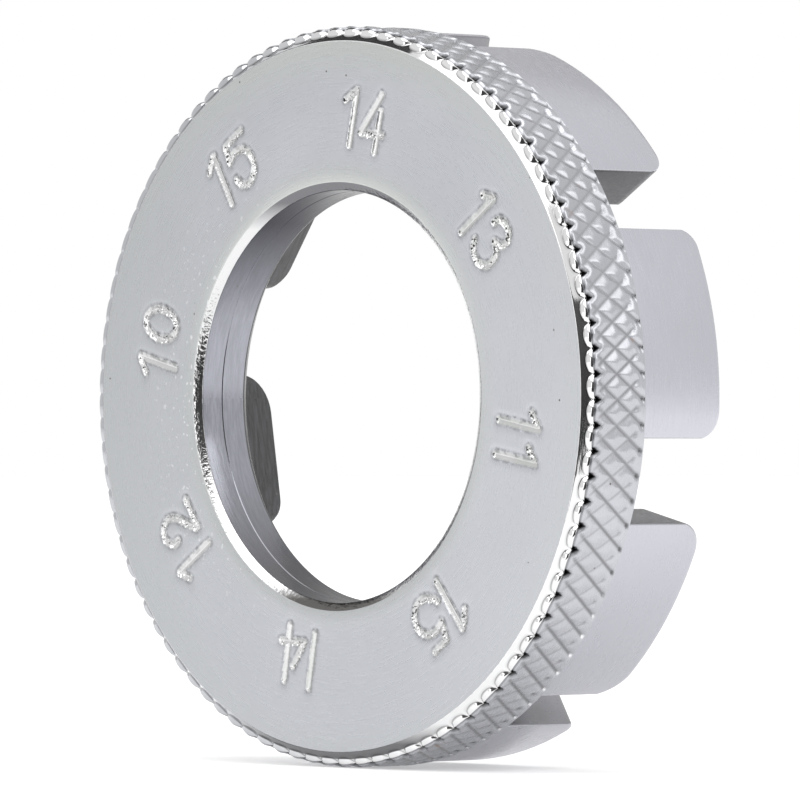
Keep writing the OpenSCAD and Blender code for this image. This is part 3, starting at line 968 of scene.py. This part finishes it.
def ring_finish(radius, angle, depth, normal):
    """0 on the face, 1 on the front chamfer, 2 in the bore, 4 on the back chamfer, 3 in the strokes."""
    chosen = np.zeros(len(radius))
    chosen[(depth > 0.02) & (depth < 0.34) & (radius < 13.6)] = 1
    chosen[(radius < 13.68) & (depth > 0.34)] = 2
    chosen[(radius < 13.75) & (depth > 3.8)] = 4
    chosen[(depth > 0.03) & (depth < 0.4) & (radius > 13.7)] = 3
    return chosen


finish_piece(ring, "numbered_ring")
give(ring, [satin_face, chamfer_plate, bore_plate, stamped, inner_wall], ring_finish)

# %% Finish the rim
finish_piece(rim, "knurled_rim", 50)
bevel_faces = np.empty(len(rim.data.polygons), dtype=bool)
rim.data.attributes["front"].data.foreach_get("value", bevel_faces)
give(rim, [rolled_plate, bright_edge], lambda *place: bevel_faces)
print(int(bevel_faces.sum()), "faces on the bevel")

# %% Finish the jaws
def jaw_finish(radius, angle, depth, normal):
    """0 outside and at the ends, 2 inside, and on the slot walls 3 facing down, 4 facing up or else 1."""
    sideways = abs(-normal[:, 0] * np.sin(angle) + normal[:, 2] * np.cos(angle))
    inward = -(normal[:, 0] * np.cos(angle) + normal[:, 2] * np.sin(angle))
    # The slot walls that face down and up take the darker copies, as painted shade.
    wall = np.where(normal[:, 2] < -0.5, 3, np.where(normal[:, 2] > 0.9, 4, 1))
    return np.where(inward > 0.6, 2, np.where(sideways > 0.8, wall, 0))


for k, jaw in enumerate(jaws):
    finish_piece(jaw, f"jaw_{k + 1}", 40)
    give(jaw, [satin_jaw, milled_slot, inner_wall, slot_shaded_below, shaded_slot], jaw_finish)

# %% [markdown]
# ## Floor and dark cards
# The photograph has a white ground, and the chrome shows black or grey only where it mirrors a darker part
# of the room. A brighter lamp would also whiten the ground, but it would bleach the metal, so the floor glows
# a little for the camera and for mirrors alone and keeps the wrench's shadow. Three cards, two dark and one
# pale grey, stand for the darker parts of the room, and only the chrome sees them.

# %% White floor
def plain(name, colour, rough):
    material = bpy.data.materials.new(name)
    material.use_nodes = True
    shader = material.node_tree.nodes["Principled BSDF"]
    shader.inputs["Base Color"].default_value = (*colour, 1)
    shader.inputs["Roughness"].default_value = rough
    return material


def seen_white(tree):
    """1 for rays from the camera, from mirrors and through glass, which see the ground white, or else 0."""
    ray = add_node(tree, "ShaderNodeLightPath").outputs
    mirrored = math_node(tree, "MAXIMUM", ray["Is Glossy Ray"], ray["Is Transmission Ray"])
    return math_node(tree, "MAXIMUM", ray["Is Camera Ray"], mirrored)


bpy.ops.object.select_all(action="DESELECT")
bpy.ops.mesh.primitive_plane_add(size=8, location=(0, 0, -CREST_R * MM))
floor = bpy.context.object
floor.name = "floor"
white = plain("white floor", (0.88, 0.88, 0.88), 0.4)
ground = white.node_tree
away = add_node(ground, "ShaderNodeVectorMath", operation="LENGTH")
put(ground, away.inputs[0], add_node(ground, "ShaderNodeTexCoord").outputs["Object"])
glow = spread_node(ground, away.outputs["Value"], 0.08, 0.5, 0.33, 0.46)
ground_shader = ground.nodes["Principled BSDF"].inputs
put(ground, ground_shader["Emission Color"], (1.0, 1.0, 1.0))
put(ground, ground_shader["Emission Strength"], math_node(ground, "MULTIPLY", seen_white(ground), glow))
floor.data.materials.append(white)
print("floor at", round(floor.location.z, 4))

# %% Dark cards
def dark_card(name, corners, shade=0.01):
    """A dark card whose corners are given by azimuth, distance and height. It shows in the chrome alone."""
    bpy.ops.object.select_all(action="DESELECT")
    bpy.ops.mesh.primitive_plane_add(size=1)
    card = bpy.context.object
    card.name = name
    set_points(card, np.array([(far * math.sin(math.radians(a)), -far * math.cos(math.radians(a)), up)
                               for a, far, up in corners]))
    card.visible_camera = card.visible_diffuse = card.visible_shadow = False
    card.data.materials.append(plain(name + " card", (shade, shade, shade), 0.9))


dark_card("camera_side", [(1.06, 0.0728, -0.0225), (54.94, 0.0728, -0.0225),
                          (1.06, 0.695, 0.26), (54.94, 0.695, 0.26)])
dark_card("left_side", [(-82, 0.4, 0.2), (-102, 0.4, 0.22), (-60, 0.21, 0.35), (-84, 0.21, 0.46)], 0.05)
dark_card("back_left_side", [(-163.8, 0.538, 0.02), (-120.2, 0.538, 0.02),
                             (-168.6, 0.447, 0.36), (-115.4, 0.447, 0.36)], 0.6)

# %% [markdown]
# ## Light
# The photograph is lit softly from all round, as in a white tent. Small lamps would show as hard spots in the
# chrome, so a white world gives the plain level, and four broad soft boxes above, in front and at the right
# model the satin faces and leave soft highlights on the knurl.

# %% White world
world = bpy.data.worlds.new("white room")
bpy.context.scene.world = world
world.use_nodes = True
room = world.node_tree
put(room, room.nodes["Background"].inputs["Color"], (1.0, 1.0, 1.0))
put(room, room.nodes["Background"].inputs["Strength"], spread_node(room, seen_white(room), 0, 1, 0.65, 1.0))
print("world:", world.name)

# %% Soft lamps
def broad_lamp(name, azimuth_deg, elevation_deg, distance, width, tall, radiance):
    """A soft box that looks at the wrench from the given side."""
    data = bpy.data.lights.new(name, "AREA")
    data.shape = "RECTANGLE"
    data.size, data.size_y = width, tall
    data.energy = radiance * width * tall * math.pi
    box = bpy.data.objects.new(name, data)
    bpy.context.scene.collection.objects.link(box)
    a, e = math.radians(azimuth_deg), math.radians(elevation_deg)
    way = Vector((math.sin(a) * math.cos(e), -math.cos(a) * math.cos(e), math.sin(e)))
    box.location = way * distance
    box.rotation_euler = way.to_track_quat("Z", "Y").to_euler()
    print(name, round(data.energy, 3), "W")


broad_lamp("key lamp", -2, 52, 0.6, 0.56, 0.55, 1.8)
broad_lamp("front lamp", -6, 4, 0.6, 0.2, 0.26, 1.4)
broad_lamp("right lamp", 105, 40, 0.6, 0.44, 0.44, 1.15)
broad_lamp("top lamp", 180, 84, 0.6, 0.4, 0.4, 1.8)
bpy.context.scene.view_settings.view_transform = "Standard"
